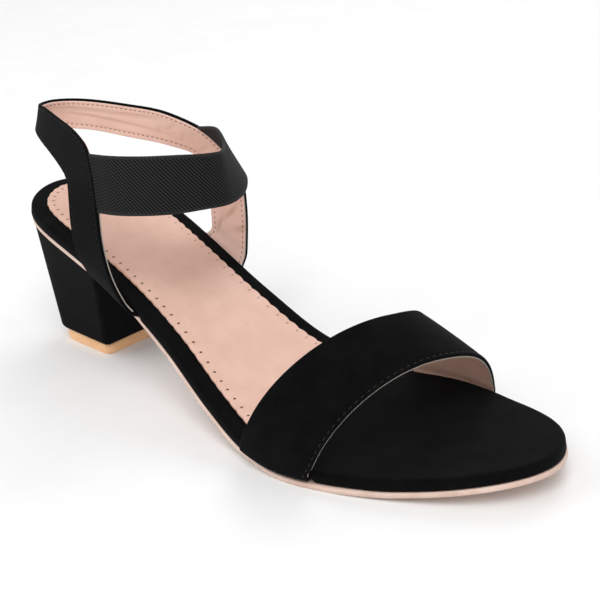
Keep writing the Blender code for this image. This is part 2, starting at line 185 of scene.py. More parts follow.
def on_sole(x, y, height):
    """Points that stand `height` above the underside, square to it."""
    x = np.clip(x, 0.0, SOLE_LENGTH)
    before = np.maximum(x - SLOPE_REACH, 0.0)
    after = np.minimum(x + SLOPE_REACH, SOLE_LENGTH)
    slope = (underside(after) - underside(before)) / (after - before)
    length = np.hypot(1, slope)
    return np.stack(np.broadcast_arrays(x - height * slope / length, y, underside(x) + height / length), -1)


def foot_rim(stations):
    """Plan points round the sole at the same stations on both sides, with their inward directions."""
    turn = (np.arange(stations) + 0.5) / stations * np.pi
    x = SOLE_LENGTH / 2 * (1 - np.cos(turn))
    outer = np.column_stack([x, edge_y(x, -1)])
    inner = np.column_stack([x, edge_y(x, 1)])[::-1]
    rim = np.vstack([outer, inner])
    ahead = np.roll(rim, -1, axis=0) - np.roll(rim, 1, axis=0)
    ahead /= np.linalg.norm(ahead, axis=1)[:, None]
    return rim, np.column_stack([-ahead[:, 1], ahead[:, 0]])


RIM, RIM_INWARD = foot_rim(RIM_STATIONS)


def sole_ring(inset, height):
    plan = RIM + RIM_INWARD * np.reshape(inset, (-1, 1))
    return on_sole(plan[:, 0], plan[:, 1], height)


def tube_faces(count, levels, first=0):
    """Faces that join each ring of points to the next."""
    faces = []
    for level in range(levels - 1):
        low = first + level * count
        for i in range(count):
            j = (i + 1) % count
            faces.append((low + i, low + j, low + count + j, low + count + i))
    return faces


def ring_faces(count, levels):
    """Faces of a closed solid through rings of points, capped across by a ladder at both ends."""
    faces = tube_faces(count, levels)
    for low in (0, (levels - 1) * count):
        for i in range(count // 2 - 1):
            faces.append((low + i, low + i + 1, low + count - 2 - i, low + count - 1 - i))
    return faces


def new_piece(name, points, faces, material, slot, *replaced):
    """A mesh piece of the shoe that rides on its body and stands for the named solids."""
    mesh = bpy.data.meshes.new(name)
    places = (np.asarray(points, float) + SHOE_PLACE) * MM
    mesh.from_pydata(places.tolist(), [], faces)
    builder = bmesh.new()
    builder.from_mesh(mesh)
    bmesh.ops.recalc_face_normals(builder, faces=builder.faces)
    builder.to_mesh(mesh)
    builder.free()
    mesh.shade_smooth()
    mesh.set_sharp_from_angle(angle=SHARP_ANGLE)
    mesh.materials.append(material)
    piece = bpy.data.objects.new(name, mesh)
    bpy.context.scene.collection.objects.link(piece)
    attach(piece, "root")
    if replaced:
        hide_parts(*replaced)
    return piece


def new_finish(name, roughness, **shader_values):
    """A material with its constant values set on the shader itself."""
    material = bpy.data.materials.new(name)
    material.use_nodes = True
    shader = material.node_tree.nodes["Principled BSDF"]
    shader.inputs["Roughness"].default_value = roughness
    for socket, value in shader_values.items():
        shader.inputs[socket.replace("_", " ")].default_value = value
    return material


def add_node(material, kind, **values):
    """A shader node: socket values by name, spaces written as underlines."""
    made = material.node_tree.nodes.new(kind)
    for socket, value in values.items():
        made.inputs[socket.replace("_", " ")].default_value = value
    return made


def wire(material, source, target):
    material.node_tree.links.new(source, target)


def grain(material, scale, detail, stretch=(1, 1, 1)):
    """Noise of the surface's own place, `scale` grains to a metre, as a value from 0 to 1."""
    place = add_node(material, "ShaderNodeTexCoord")
    mapping = add_node(material, "ShaderNodeMapping", Scale=stretch)
    noise = add_node(material, "ShaderNodeTexNoise", Scale=scale, Detail=detail, Roughness=0.6)
    wire(material, place.outputs["Object"], mapping.inputs["Vector"])
    wire(material, mapping.outputs["Vector"], noise.inputs["Vector"])
    return noise.outputs["Fac"]


def tint(material, value, low, high, start=0.35, end=0.65):
    """A colour that goes from `low` to `high` as a value goes from `start` to `end`."""
    ramp = add_node(material, "ShaderNodeValToRGB")
    ramp.color_ramp.elements[0].position = start
    ramp.color_ramp.elements[0].color = (*low, 1.0)
    ramp.color_ramp.elements[1].position = end
    ramp.color_ramp.elements[1].color = (*high, 1.0)
    wire(material, value, ramp.inputs["Fac"])
    return ramp.outputs["Color"]


def paint(material, colour):
    wire(material, colour, material.node_tree.nodes["Principled BSDF"].inputs["Base Color"])


def raise_bump(material, height, strength, distance, under=None):
    """Bump in the surface, over the bump that is there already."""
    bump = add_node(material, "ShaderNodeBump", Strength=strength, Distance=distance * MM)
    wire(material, height, bump.inputs["Height"])
    if under:
        wire(material, under, bump.inputs["Normal"])
    wire(material, bump.outputs["Normal"], material.node_tree.nodes["Principled BSDF"].inputs["Normal"])
    return bump.outputs["Normal"]


def nude_sole_finish():
    material = new_finish("nude_sole", roughness=0.55, Specular_IOR_Level=0.35)
    clouds = grain(material, scale=120, detail=4)
    paint(material, tint(material, clouds, NUDE_WARM, NUDE_PALE))
    raise_bump(material, grain(material, scale=2200, detail=3), strength=0.25, distance=0.15)
    return material


outsole_inset = np.interp(RIM[:, 0], *np.array(OUTSOLE_INSETS).T)
new_piece(
    "outsole_sheet",
    np.vstack([sole_ring(outsole_inset + further, height) for further, height in OUTSOLE_SECTION]),
    ring_faces(len(RIM), len(OUTSOLE_SECTION)),
    nude_sole_finish(),
    "sole_nude",
    "outsole",
)


# Heel lift
# The top piece under the heel: a hard tan slab that takes the wear.
# It is nailed and glued to the foot of the heel block, then trimmed flush.

LIFT_BACK = 16.5
LIFT_FRONT = 47.0
LIFT_HALF_WIDTH = 16.0
LIFT_FRONT_CORNER = 3.0
LIFT_BACK_CORNER = 8.0
LIFT_THICK = 4.6
CORNER_STEPS = 12
LIFT_SECTION = (  # margin, height
    (-0.6, 0.0),
    (-0.15, 0.12),
    (0.0, 0.5),
    (0.0, 4.2),
    (-0.12, 4.5),
    (-0.5, LIFT_THICK),
)
TAN_DEEP = (0.88, 0.5, 0.25)
TAN_LIGHT = (0.96, 0.61, 0.34)


def heel_plan(margin, front_corner):
    """Plan of the heel's foot from its outer front corner round the back to its inner front corner."""
    half = LIFT_HALF_WIDTH + margin
    front = LIFT_FRONT + margin - front_corner
    back = LIFT_BACK - margin + LIFT_BACK_CORNER
    side = half - front_corner
    back_side = half - LIFT_BACK_CORNER
    corners = (  # centre along, centre across, radius, start angle
        (front, -side, front_corner, 0.0),
        (back, -back_side, LIFT_BACK_CORNER, -90.0),
        (back, back_side, LIFT_BACK_CORNER, -180.0),
        (front, side, front_corner, -270.0),
    )
    points = []
    for x, y, radius, start in corners:
        for angle in np.radians(np.linspace(start, start - 90.0, CORNER_STEPS + 1 if radius else 1)):
            points.append((x + radius * math.cos(angle), y + radius * math.sin(angle)))
    return np.array(points)


def at_height(plan, z):
    return np.column_stack([plan, np.full(len(plan), z)])


def tan_lift_finish():
    material = new_finish("tan_lift", roughness=0.42, Specular_IOR_Level=0.4)
    layers = grain(material, scale=160, detail=5, stretch=(1, 1, 3))
    paint(material, tint(material, layers, TAN_DEEP, TAN_LIGHT))
    raise_bump(material, grain(material, scale=1500, detail=4), strength=0.2, distance=0.12)
    return material


lift_rings = [at_height(heel_plan(margin, LIFT_FRONT_CORNER), z) for margin, z in LIFT_SECTION]
new_piece(
    "heel_top_piece",
    np.vstack(lift_rings),
    ring_faces(len(lift_rings[0]), len(lift_rings)),
    tan_lift_finish(),
    "lift_tan",
    "heel_lift",
)


# Heel block
# A moulded heel that tapers from the heel seat to its foot, wrapped in black suede.
# The cover is glued on, and the block is screwed to the heel seat from above.

GAP = 0.3
BLOCK_FOOT_MARGIN = 1.6
BLOCK_FOOT_ROUND = 2.0
BLOCK_BREAST_ROUND = 2.5
BLOCK_ROUND_STEPS = 6
BLOCK_SEAT_MARGIN = 1.3
BLOCK_SEAT_FRONT = 58.0
BLOCK_WALL_POINTS = 126
BREAST_POINTS = 4  # points of the wall that the rounding of the breast takes up
BLOCK_ROWS = 9
FLAT_FACE = 0.9  # least share of a level face's normal that points up or down
SUEDE_DEEP = (0.0016, 0.0016, 0.0018)
SUEDE_BRUSHED = (0.0042, 0.0042, 0.0047)


def even_points(path, count):
    """Points spaced evenly along a path."""
    along = np.concatenate([[0], np.cumsum(np.linalg.norm(np.diff(path, axis=0), axis=1))])
    places = np.linspace(0, along[-1], count)
    return np.column_stack([np.interp(places, along, path[:, k]) for k in range(path.shape[1])])


def seat_plan():
    """Plan of the heel seat from its outer front corner round the back to its inner front corner."""
    outer = RIM[:RIM_STATIONS] + RIM_INWARD[:RIM_STATIONS] * BLOCK_SEAT_MARGIN
    inner = RIM[RIM_STATIONS:] + RIM_INWARD[RIM_STATIONS:] * BLOCK_SEAT_MARGIN
    outer_curve = outer[outer[:, 0] < BLOCK_SEAT_FRONT][::-1]
    inner_curve = inner[inner[:, 0] < BLOCK_SEAT_FRONT][::-1]
    outer_corner = (BLOCK_SEAT_FRONT, edge_y(BLOCK_SEAT_FRONT, -1) + BLOCK_SEAT_MARGIN)
    inner_corner = (BLOCK_SEAT_FRONT, edge_y(BLOCK_SEAT_FRONT, 1) - BLOCK_SEAT_MARGIN)
    return np.vstack([outer_corner, outer_curve, inner_curve, inner_corner])


def suede_finish(name):
    """Black suede: a short nap that lies in soft patches and catches a little light at its edges."""
    material = new_finish(
        name,
        roughness=0.9,
        Specular_IOR_Level=0.05,
        Sheen_Weight=0.03,
        Sheen_Roughness=0.5,
        Sheen_Tint=(0.55, 0.57, 0.62, 1.0),
    )
    patches = grain(material, scale=95, detail=5)
    paint(material, tint(material, patches, SUEDE_DEEP, SUEDE_BRUSHED, start=0.3, end=0.7))
    nap = raise_bump(material, grain(material, scale=3600, detail=3), strength=0.55, distance=0.16)
    raise_bump(material, grain(material, scale=420, detail=4), strength=0.22, distance=0.25, under=nap)
    return material


def bevel_edges(builder, edges, radius):
    bmesh.ops.bevel(
        builder,
        geom=edges,
        offset=radius,
        segments=BLOCK_ROUND_STEPS,
        profile=0.5,
        affect="EDGES",
    )


def wall_points(plan):
    """Points spaced along the block's wall, with none inside the rounding of the breast."""
    points = even_points(plan, BLOCK_WALL_POINTS)
    return np.vstack([points[:1], points[BREAST_POINTS:-BREAST_POINTS], points[-1:]])


def heel_block_mesh():
    """The block's points and faces in a fixed order, its breast edges and the rim of its foot rounded."""
    seat_path = wall_points(seat_plan())
    seat = on_sole(seat_path[:, 0], seat_path[:, 1], -GAP)
    foot_z = LIFT_THICK + GAP
    foot = at_height(wall_points(heel_plan(BLOCK_FOOT_MARGIN, 0.0)), foot_z)
    rings = [seat + (foot - seat) * share for share in np.linspace(0, 1, BLOCK_ROWS)]
    builder = bmesh.new()
    grid = [[builder.verts.new(point) for point in ring] for ring in rings]
    for face in ring_faces(len(seat), BLOCK_ROWS):
        builder.faces.new([grid[i // len(seat)][i % len(seat)] for i in face])
    breast = [
        builder.edges.get((upper[i], lower[i])) for upper, lower in zip(grid, grid[1:]) for i in (0, -1)
    ]
    bmesh.ops.recalc_face_normals(builder, faces=builder.faces)
    bevel_edges(builder, breast, BLOCK_BREAST_ROUND)
    rim = [
        edge
        for edge in builder.edges
        if all(vert.co.z < foot_z + GAP for vert in edge.verts)
        and any(abs(face.normal.z) < FLAT_FACE for face in edge.link_faces)
    ]
    bevel_edges(builder, rim, BLOCK_FOOT_ROUND)
    corners = sorted(builder.verts, key=lambda vert: tuple(vert.co))
    for i, vert in enumerate(corners):
        vert.index = i
    points = [tuple(vert.co) for vert in corners]
    faces = sorted([vert.index for vert in face.verts] for face in builder.faces)
    builder.free()
    return points, faces


new_piece("heel_cover", *heel_block_mesh(), suede_finish("heel_suede"), "suede_black", "heel_block")


# Footbed
# A board and a thin foam, wrapped over a rounded edge in black suede.
# It is rebated underneath where the straps tuck in, and the outsole closes it from below.

FOOTBED_INSET = 0.2
FOOTBED_THICK = 4.4
FOOTBED_UNDER = OUTSOLE_THICK + GAP
FOOTBED_TOP = FOOTBED_UNDER + FOOTBED_THICK
STRAP_THICK = 1.8
TUCK = 7.0
TOE_REAR_OUTER_X = 147.0
TOE_REAR_INNER_X = 157.0
TOE_FRONT_OUTER_X = 176.5
TOE_FRONT_INNER_X = 191.5
BACK_STRAP_OUTER_FOOT = ((58.0, 85.0), (59.0, 80.5))  # rear and front x under the footbed, then above it
BACK_STRAP_INNER_FOOT = ((61.0, 85.5), (63.0, 83.0))
REBATE_DEPTH = STRAP_THICK + GAP
REBATE_REACH = TUCK + 2 * GAP
FOOTBED_SECTION = (  # inset, height, share of the rebate's depth
    (REBATE_REACH + 0.6, FOOTBED_UNDER, 0.0),
    (REBATE_REACH, FOOTBED_UNDER, 1.0),
    (1.0, FOOTBED_UNDER, 1.0),
    (0.4, FOOTBED_UNDER + 0.2, 0.95),
    (FOOTBED_INSET, FOOTBED_UNDER + 0.7, 0.75),
    (FOOTBED_INSET, FOOTBED_TOP - 1.2, 0.0),
    (FOOTBED_INSET + 0.15, FOOTBED_TOP - 0.7, 0.0),
    (FOOTBED_INSET + 0.5, FOOTBED_TOP - 0.25, 0.0),
    (FOOTBED_INSET + 1.1, FOOTBED_TOP - 0.03, 0.0),
    (FOOTBED_INSET + 2.0, FOOTBED_TOP, 0.0),
)


def in_rebate():
    """1 for each point of the rim that lies over a strap's tucked end, 0 elsewhere."""
    spans = (
        ((TOE_REAR_OUTER_X, TOE_FRONT_OUTER_X), (TOE_REAR_INNER_X, TOE_FRONT_INNER_X)),
        (BACK_STRAP_OUTER_FOOT[0], BACK_STRAP_INNER_FOOT[0]),
    )
    cut = np.zeros(len(RIM))
    outer = np.arange(len(RIM)) < RIM_STATIONS
    for outer_span, inner_span in spans:
        for side, (rear, front) in ((outer, outer_span), (~outer, inner_span)):
            cut[side & (RIM[:, 0] > rear - GAP) & (RIM[:, 0] < front + GAP)] = 1.0
    return cut


rebate = in_rebate() * REBATE_DEPTH
new_piece(
    "footbed_wrap",
    np.vstack([sole_ring(inset, height + rebate * share) for inset, height, share in FOOTBED_SECTION]),
    ring_faces(len(RIM), len(FOOTBED_SECTION)),
    suede_finish("footbed_suede"),
    "suede_black",
    "footbed",
)


# Toe strap
# A wide band of black suede over the toes, lined in rose leather and stitched along its front edge.
# Both ends fold round the footbed and are glued between footbed and outsole.

TOE_REAR_BOW = 25.0
TOE_FRONT_BOW = 14.5
TOE_ARCH_X = 180.0
TOE_ARCH_RISE = 45.7  # crown over the outsole at TOE_ARCH_X
TOE_ARCH_FALL = 0.56  # drop of the crown for each millimetre to the front
TOE_ARCH_LEAN = -0.11  # share by which the inner side is higher
TOE_ARCH_OUTER = (2.25, 1.0)  # power, spring
TOE_ARCH_INNER = (2.2, 0.76)  # power, spring
TOE_BULGE = 6.3  # how far the outer side swells out
TOE_ARCH_SIDE = 0.955  # share of the half width at which the arch meets the fold
TOE_ROWS = 161
FINE_COLUMNS = 24
ROW_PITCH = 0.8
ROW_SOFTNESS = 1.6
FOLD_RADIUS = 1.0
FOLD_STEPS = 8
FOLD_EASE = 0.3
FOLD_OUT = GAP + STRAP_THICK / 2 - FOOTBED_INSET + FOLD_EASE
FOLD_HEIGHT = FOOTBED_UNDER + STRAP_THICK / 2
EDGE_REACH = 2.0
SUEDE_TOP = STRAP_THICK / 2
SUEDE_BASE = -0.45
LINING_TOP = -0.4
LINING_BASE = -STRAP_THICK / 2
LINING_SETBACK = 0.8
LINING_CLEAR = 1.0
RIM_STEPS = 6
EDGE_PLACES = (0.0, 0.35, 0.8, 1.2, 1.5, 1.75, 2.0, 2.25, 2.5, 2.9, 3.5, 4.4)
MIDDLE_PLACES = 14
SEAM_INSET = 2.0
TOE_SEAM_INSET = 1.3
SEAM_SINK = 0.16
SEAM_HALF_WIDTH = 0.45
SEAM_REACH = 0.5
STITCH_PITCH = 2.7
STITCH_LENGTH = 1.6
STITCH_RADIUS = 0.2
STITCH_SIDES = 8
STITCH_PROFILE = (  # along, girth, lift
    (-0.5, 0.25, -0.5),
    (-0.4, 0.75, -0.1),
    (-0.2, 1.0, 0.25),
    (0.0, 1.0, 0.35),
)
THREAD_GREY = (0.016, 0.016, 0.017)
THREAD_SHADE = 0.6
ROSE = (0.7, 0.445, 0.35)
ROSE_LIGHT = (0.75, 0.49, 0.395)
# painted shade, mixed into the lining where it lies in a crease
CREASE_SHADE = (0.58, 0.37, 0.28)
RAW_PALE = (0.36, 0.33, 0.29)
MIX_BASE = 6  # numbers of the mix node's colour sockets
MIX_COLOUR = 7
MIX_RESULT = 2


def beside_sole(x, out, height, side):
    """A point `out` from the sole's edge, square to it in plan, and `height` above the underside."""
    slope = (edge_y(x + EDGE_REACH, side) - edge_y(x - EDGE_REACH, side)) / (2 * EDGE_REACH)
    length = np.hypot(1, slope)
    return on_sole(x - side * slope * out / length, edge_y(x, side) + side * out / length, height)


def fold_path(ease, lean):
    """Section of a strap's end from under the footbed round to its side: out from the edge, height."""
    side = FOLD_OUT + ease
    path = [(-TUCK, FOLD_HEIGHT), (-TUCK / 2, FOLD_HEIGHT)]
    for angle in np.radians(np.linspace(0, 90, FOLD_STEPS + 1)):
        path.append(
            (
                side - FOLD_RADIUS + FOLD_RADIUS * math.sin(angle),
                FOLD_HEIGHT + FOLD_RADIUS - FOLD_RADIUS * math.cos(angle),
            )
        )
    path.append((side + lean, FOOTBED_TOP + GAP))
    return path


def tucked_rows(under, above, side, ease=0.0, lean=0.0):
    """Rows of a strap's end: its span along the edge goes from `under` to `above` round the fold."""
    path = fold_path(ease, lean)
    rows = []
    for i, (out, height) in enumerate(path):
        share = max(0.0, (i - 1) / (len(path) - 2))
        rear = under[0] + (above[0] - under[0]) * share
        front = under[1] + (above[1] - under[1]) * share
        rows.append(beside_sole(np.linspace(rear, front, FINE_COLUMNS + 1), out, height, side))
    return rows


def toe_strap_rows():
    """Rows across the strap from the outer side over the arch to the inner side."""
    outer = (TOE_REAR_OUTER_X, TOE_FRONT_OUTER_X)
    inner = (TOE_REAR_INNER_X, TOE_FRONT_INNER_X)
    arch = []
    side_angle = math.asin(TOE_ARCH_SIDE)
    for angle in np.linspace(-side_angle, side_angle, TOE_ROWS):
        across = math.sin(angle)
        share = (across + 1) / 2
        bow = 1 - across**2
        rear = outer[0] + (inner[0] - outer[0]) * share + TOE_REAR_BOW * bow
        front = outer[1] + (inner[1] - outer[1]) * share + TOE_FRONT_BOW * bow
        power, spring = TOE_ARCH_OUTER if across < 0 else TOE_ARCH_INNER
        arc = (1 - abs(across) ** power) ** spring
        rise = arc * (1 + TOE_ARCH_LEAN * across)
        bulge = TOE_BULGE * 4 * arc * (1 - arc) if across < 0 else 0.0
        x = np.linspace(rear, front, FINE_COLUMNS + 1)
        low, high = edge_y(x, -1) - FOLD_OUT, edge_y(x, 1) + FOLD_OUT
        y = (low + high) / 2 + (high - low) / 2 * across - bulge
        crown = TOE_ARCH_RISE - TOE_ARCH_FALL * (x - TOE_ARCH_X)
        arch.append(np.column_stack([x, y, underside(x) + OUTSOLE_THICK + crown * rise]))
    return [*tucked_rows(outer, outer, -1), *arch, *tucked_rows(inner, inner, 1)[::-1]]


def even_rows(rows, pitch, softness):
    """The same surface in rows `pitch` apart, with kinks shorter than `softness` eased out."""
    rows = np.array(rows, float)
    steps = np.linalg.norm(np.diff(rows, axis=0), axis=2).mean(axis=1)
    along = np.concatenate([[0], np.cumsum(steps)])
    count = int(along[-1] / pitch) + 1
    places = np.linspace(0, along[-1], count)
    flat = rows.reshape(len(rows), -1)
    even = np.column_stack([np.interp(places, along, column) for column in flat.T])
    reach = int(3 * softness / pitch)
    kernel = np.exp(-0.5 * (np.arange(-reach, reach + 1) * pitch / softness) ** 2)
    kernel /= kernel.sum()
    padded = np.vstack([2 * even[0] - even[reach:0:-1], even, 2 * even[-1] - even[-2 : -2 - reach : -1]])
    soft = np.column_stack([np.convolve(column, kernel, mode="valid") for column in padded.T])
    return soft.reshape(count, -1, 3)


def row_lengths(rows):
    """Distance of each point of a row from the row's first edge."""
    steps = np.linalg.norm(np.diff(rows, axis=1), axis=2)
    return np.concatenate([np.zeros((len(rows), 1)), np.cumsum(steps, axis=1)], axis=1)


def at_distances(rows, distances):
    """The point of each row at each of its own distances from its first edge."""
    along = row_lengths(rows)
    return np.array(
        [
            np.column_stack([np.interp(wanted, known, row[:, k]) for k in range(3)])
            for row, known, wanted in zip(rows, along, distances)
        ]
    )


def strap_places(rows, first_inset, last_inset):
    """Distances across a strap, close together at both edges and even between them."""
    widths = row_lengths(rows)[:, -1:]
    edge = np.array(EDGE_PLACES)
    first = first_inset + edge
    last = widths - last_inset - edge[::-1]
    middle = np.linspace(0, 1, MIDDLE_PLACES + 2)[1:-1]
    start = np.full_like(widths, first[-1])
    between = start + (last[:, :1] - start) * middle
    return np.hstack([np.tile(first, (len(rows), 1)), between, last])


def surface_normals(grid):
    normal = np.cross(np.gradient(grid, axis=1), np.gradient(grid, axis=0))
    return normal / np.linalg.norm(normal, axis=2, keepdims=True)


def band_shell(grid, top, base):
    """Points and faces of a closed band between two heights over a surface, with round rims."""
    normals = surface_normals(grid)
    top = np.broadcast_to(top, grid.shape[:2])
    base = np.broadcast_to(base, grid.shape[:2])
    rims = []
    for edge, inside in ((-1, -2), (0, 1)):
        away = grid[:, edge] - grid[:, inside]
        away /= np.linalg.norm(away, axis=1)[:, None]
        middle = (top[:, edge] + base[:, edge]) / 2
        radius = (top[:, edge] - base[:, edge]) / 2
        turns = np.pi * np.arange(1, RIM_STEPS) / RIM_STEPS
        lift = (middle[:, None] + radius[:, None] * np.cos(turns))[..., None]
        out = (radius[:, None] * np.sin(turns))[..., None]
        rims.append(grid[:, edge, None] + normals[:, edge, None] * lift + away[:, None] * out)
    outer = grid + normals * top[..., None]
    inner = grid + normals * base[..., None]
    rings = np.concatenate([outer, rims[0], inner[:, ::-1], rims[1][:, ::-1]], axis=1)
    levels, count = rings.shape[:2]
    faces = tube_faces(count, levels)
    faces.append(tuple(range(count)))
    faces.append(tuple((levels - 1) * count + i for i in range(count)))
    return rings.reshape(-1, 3), faces


def seam_sink(places, rows, seams):
    """How deep a row of stitches pulls the leather in at each place of a strap."""
    widths = row_lengths(rows)[:, -1:]
    sink = np.zeros_like(places)
    for seam in seams:
        middle = seam if seam > 0 else widths + seam
        sink += SEAM_SINK * np.exp(-(((places - middle) / SEAM_HALF_WIDTH) ** 2))
    return sink


def seam_line(rows, seam):
    """Points and normals of a line at a distance from a strap's first edge, or, below 0, from its last."""
    widths = row_lengths(rows)[:, -1:]
    middle = np.full_like(widths, seam) if seam > 0 else widths + seam
    grid = at_distances(rows, middle + np.array([[-SEAM_REACH, 0.0, SEAM_REACH]]))
    return grid[:, 1], surface_normals(grid)[:, 1]


def stitch_row(line, normals, height, pitch, length, radius):
    """Points and faces of a row of stitches, each sunk at its ends, `height` over the line."""
    count = int(np.linalg.norm(np.diff(line, axis=0), axis=1).sum() / pitch)
    spots = even_points(np.hstack([line, normals]), 2 * count + 1)
    points = []
    faces = []
    profile = [*STITCH_PROFILE, *((-along, girth, lift) for along, girth, lift in STITCH_PROFILE[-2::-1])]
    for i in range(1, 2 * count, 2):
        centre, up = spots[i, :3], spots[i, 3:] / np.linalg.norm(spots[i, 3:])
        ahead = spots[i + 1, :3] - spots[i - 1, :3]
        ahead -= up * (ahead @ up)
        ahead /= np.linalg.norm(ahead)
        side = np.cross(ahead, up)
        first = len(points)
        for along, girth, lift in profile:
            hub = centre + ahead * along * length + up * (height + lift * radius)
            for angle in np.linspace(0, 2 * np.pi, STITCH_SIDES, endpoint=False):
                points.append(hub + radius * girth * (side * math.cos(angle) + up * math.sin(angle)))
        faces.extend(tube_faces(STITCH_SIDES, len(profile), first))
        faces.append(tuple(first + k for k in range(STITCH_SIDES)))
        faces.append(tuple(len(points) - STITCH_SIDES + k for k in range(STITCH_SIDES)))
    return points, faces


def mesh_mark(material, mark):
    """The value that the mesh carries under a name."""
    marked = add_node(material, "ShaderNodeAttribute")
    marked.attribute_name = mark
    return marked.outputs["Fac"]


def blend(material, share, base, colour):
    """A colour that goes from `base` to another as a share goes from 0 to 1."""
    mix = add_node(material, "ShaderNodeMix")
    mix.data_type = "RGBA"
    wire(material, share, mix.inputs["Factor"])
    wire(material, base, mix.inputs[MIX_BASE])
    mix.inputs[MIX_COLOUR].default_value = (*colour, 1.0)
    return mix.outputs[MIX_RESULT]


def mark_shell(piece, mark, shape, front=0.0, inner=0.0, rear=0.0):
    """Marks a band's front rim, inner face and rear rim with values from 0 to 1 for its finish."""
    face = np.zeros(shape)
    rim = np.ones((shape[0], RIM_STEPS - 1))
    values = np.hstack([face, front * rim, (face + inner)[:, ::-1], rear * rim])
    layer = piece.data.attributes.new(mark, "FLOAT", "POINT")
    layer.data.foreach_set("value", values.ravel().astype(np.float32))


def lining_finish(name, stretch, low, high):
    """Rose lining leather: fine grain, soft streaks along its stretch, painted shade in its creases and
    pale raw edges.
    """
    material = new_finish(name, roughness=0.5, Specular_IOR_Level=0.35)
    rose = tint(material, grain(material, scale=130, detail=5, stretch=stretch), low, high)
    # Painted shade: the lining is painted darker in its creases, the more the deeper they lie.
    crease_shaded = blend(material, mesh_mark(material, "crease_shade"), rose, CREASE_SHADE)
    paint(material, blend(material, mesh_mark(material, "raw"), crease_shaded, RAW_PALE))
    pores = raise_bump(material, grain(material, scale=2600, detail=3), strength=0.2, distance=0.1)
    streaks = grain(material, scale=240, detail=4, stretch=stretch)
    raise_bump(material, streaks, strength=0.3, distance=0.35, under=pores)
    return material


def thread_finish(name, colour):
    material = new_finish(name, roughness=0.5, Specular_IOR_Level=0.2)
    shade = tuple(part * THREAD_SHADE for part in colour)
    paint(material, tint(material, grain(material, scale=4000, detail=2), shade, colour))
    raise_bump(material, grain(material, scale=6000, detail=2), strength=0.4, distance=0.05)
    return material


toe_rows = even_rows(toe_strap_rows(), ROW_PITCH, ROW_SOFTNESS)
suede_rim = (SUEDE_TOP - SUEDE_BASE) / 2
toe_places = strap_places(toe_rows, suede_rim, suede_rim)
toe_sink = seam_sink(toe_places, toe_rows, (-TOE_SEAM_INSET,))
new_piece(
    "toe_band",
    *band_shell(at_distances(toe_rows, toe_places), SUEDE_TOP - toe_sink, SUEDE_BASE),
    suede_finish("toe_suede"),
    "suede_black",
    "toe_strap",
)

lining_rim = (LINING_TOP - LINING_BASE) / 2
tucked = int((TUCK + FOLD_RADIUS + LINING_CLEAR) / ROW_PITCH)
toe_inside = toe_rows[tucked:-tucked]
toe_lining_places = strap_places(toe_inside, lining_rim + LINING_SETBACK, lining_rim)
toe_lining = new_piece(
    "toe_lining",
    *band_shell(at_distances(toe_inside, toe_lining_places), LINING_TOP, LINING_BASE),
    lining_finish("toe_lining_leather", (1, 0.4, 1), ROSE, ROSE_LIGHT),
    "lining_rose",
)
mark_shell(toe_lining, "raw", toe_lining_places.shape, front=1.0)

thread_height = SUEDE_TOP - SEAM_SINK
toe_seam, toe_seam_normals = seam_line(toe_inside, -TOE_SEAM_INSET)
new_piece(
    "toe_stitches",
    *stitch_row(toe_seam, toe_seam_normals, thread_height, STITCH_PITCH, STITCH_LENGTH, STITCH_RADIUS),
    thread_finish("toe_thread", THREAD_GREY),
    "suede_black",
)


# Heel strap
# One strap of black suede: a leg at each side and a loop round the back of the heel.
# It is lined in rose leather, sewn along both edges, and its feet are tucked in like the toe strap's.

BACK_STRAP_EASE = 0.5
BACK_STRAP_LEAN = 2.0
BACK_STRAP_ROWS = (  # rear or lower edge x, y, z, front or upper edge x, y, z
    (59.5, -35, 54, 81.5, -37.5, 49),
    (57.5, -35.5, 68, 78, -38.5, 66.5),
    (56.5, -34.5, 75, 76.5, -37.5, 76),
    (50, -30, 82.5, 72, -35, 91.5),
    (43, -27.5, 85, 68, -33, 97.5),
    (35, -24.5, 86.5, 60, -30, 100),
    (20, -18, 87.5, 35, -20.5, 100.5),
    (12, -13.5, 87.5, 21, -15, 100),
    (7, -9.5, 87, 12, -10.5, 98.5),
    (4.5, -4.5, 86, 6.5, -5.5, 97),
    (4.5, 1.5, 84.5, 5, 0.5, 96.5),
    (6.5, 6.5, 83.5, 7, 6, 96),
    (12, 11, 83, 11, 9, 96),
    (29, 19, 81, 29, 18, 95),
    (46, 26, 79, 50, 24.5, 93),
    (57, 31.5, 75, 67.5, 30, 85.5),
    (62, 32, 65.5, 80, 32, 71.5),
    (64, 30.5, 55, 83, 31.5, 58),
)
BACK_STRAP_STEPS = 14
LEG_FRONT_X = (70.0, 76.0)  # where the raw front edge starts to show, and where it shows in full
RAW_LEG_SETBACK = 0.2
RAW_REAR_SHARE = 0.5
LINING_PITCH = 2.1
LINING_STITCH = 1.0
LINING_THREAD_RADIUS = 0.16
LOOP_ROSE = (0.79, 0.525, 0.435)
LOOP_ROSE_LIGHT = (0.85, 0.59, 0.5)
THREAD_BLACK = (0.004, 0.004, 0.0043)
THREAD_BROWN = (0.17, 0.075, 0.05)
CREASES = (  # x, y, z, run, breadth, turn from lengthwise in degrees, depth
    (10, 9, 92, 22, 0.9, 2, 0.22),
    (22, 15, 88, 24, 0.8, -2, 0.2),
    (34, 20, 91, 14, 0.8, 5, 0.14),
    (43, 24, 86, 2.2, 0.7, 70, 0.12),
    (49, 26, 88, 2.6, 0.8, 55, 0.14),
    (53, 28, 84, 2.4, 0.7, 80, 0.14),
    (58, 29, 86, 2.2, 0.8, 60, 0.12),
    (62, 31, 80, 2.6, 0.8, 75, 0.14),
    (68, 31, 62, 5.0, 1.0, -35, 0.28),
    (75, 31, 55, 5.5, 1.1, -50, 0.32),
    (70, 30, 49, 6.0, 1.0, -15, 0.28),
    (82, 31, 50, 4.5, 0.9, -70, 0.26),
)
# The colour that creases take is painted shade.
CREASE_FULL = 0.36  # depth at which a crease has its full colour


